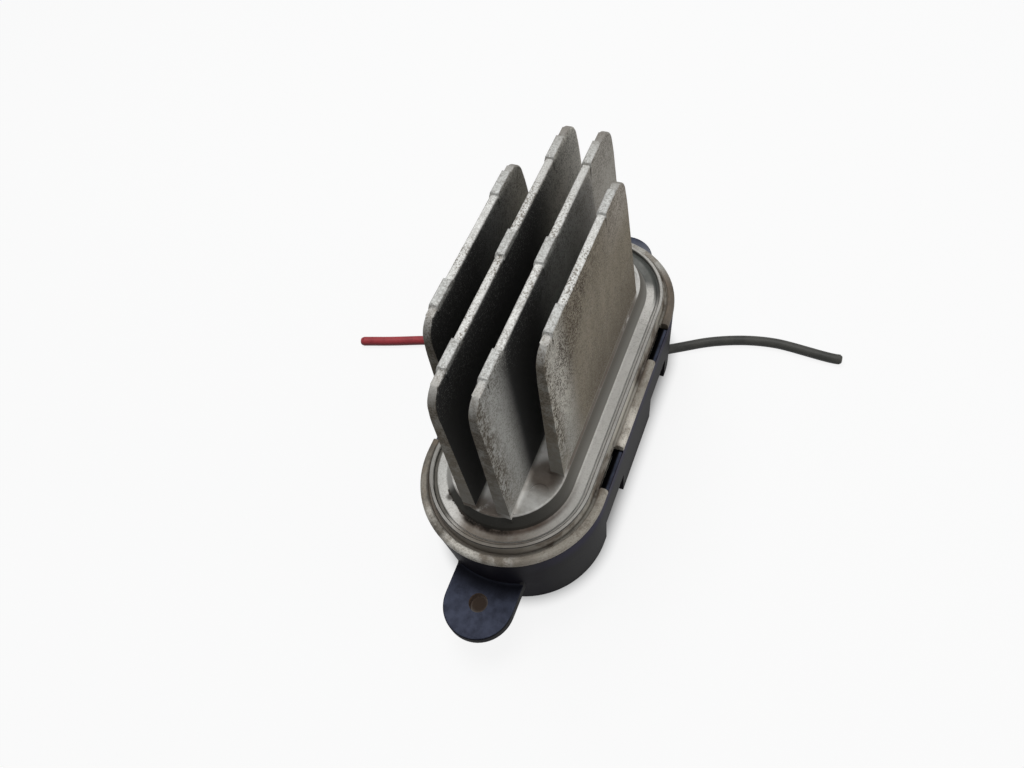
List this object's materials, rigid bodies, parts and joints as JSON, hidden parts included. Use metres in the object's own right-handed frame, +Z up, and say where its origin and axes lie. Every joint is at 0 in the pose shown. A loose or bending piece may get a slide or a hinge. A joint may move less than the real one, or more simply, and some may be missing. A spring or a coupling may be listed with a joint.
{
  "type": "blower motor resistor",
  "caption": "Finned cast heat sink on an obround flange, snapped into a moulded base with mounting ears, that sets the speed of a cabin blower motor and ends in cut leads.",
  "frame": {"origin": "centre of the housing foot, on the surface that the part stands on", "axes": "+Z up along the fins, Y along the flange and through both ear holes, X across the flange"},
  "size_m": [0.1337, 0.1238, 0.0749],
  "materials": {
    "cast_aluminium": "weathered die casting with dirt",
    "housing_plastic": "moulded dark blue-black polyamide",
    "board_laminate": "solder resist",
    "black_epoxy": "moulded epoxy",
    "grey_silicone": "matt",
    "bush_plastic": "natural polyamide",
    "zinc_steel": "zinc plated",
    "can_aluminium": "drawn can",
    "copper_alloy": "bare strip",
    "tan_ceramic": "fired ceramic",
    "tinned_brass": "tin plated",
    "seal_rubber": "matt",
    "red_insulation": "satin cable insulation",
    "dark_insulation": "satin cable insulation"
  },
  "bodies": {
    "root": {"heat_sink": "cast_aluminium", "base_housing": "housing_plastic", "circuit_board": "board_laminate", "power_transistor_front": "black_epoxy", "power_transistor_rear": "black_epoxy", "insulating_pad_front": "grey_silicone", "insulating_pad_rear": "grey_silicone", "insulating_bushes": "bush_plastic", "transistor_screws": "zinc_steel", "board_screws": "zinc_steel", "control_chip": "black_epoxy", "supply_capacitor": "can_aluminium", "reverse_diode": "black_epoxy", "shunt_strap": "copper_alloy", "gate_resistors": "black_epoxy", "filter_capacitors": "tan_ceramic", "supply_blade": "tinned_brass", "ground_blade": "tinned_brass", "control_blade": "tinned_brass", "red_lead_terminal": "tinned_brass", "dark_lead_terminal": "tinned_brass", "red_wire_seal": "seal_rubber", "dark_wire_seal": "seal_rubber", "red_wire": "red_insulation", "dark_wire": "dark_insulation"}
  },
  "joints": []
}
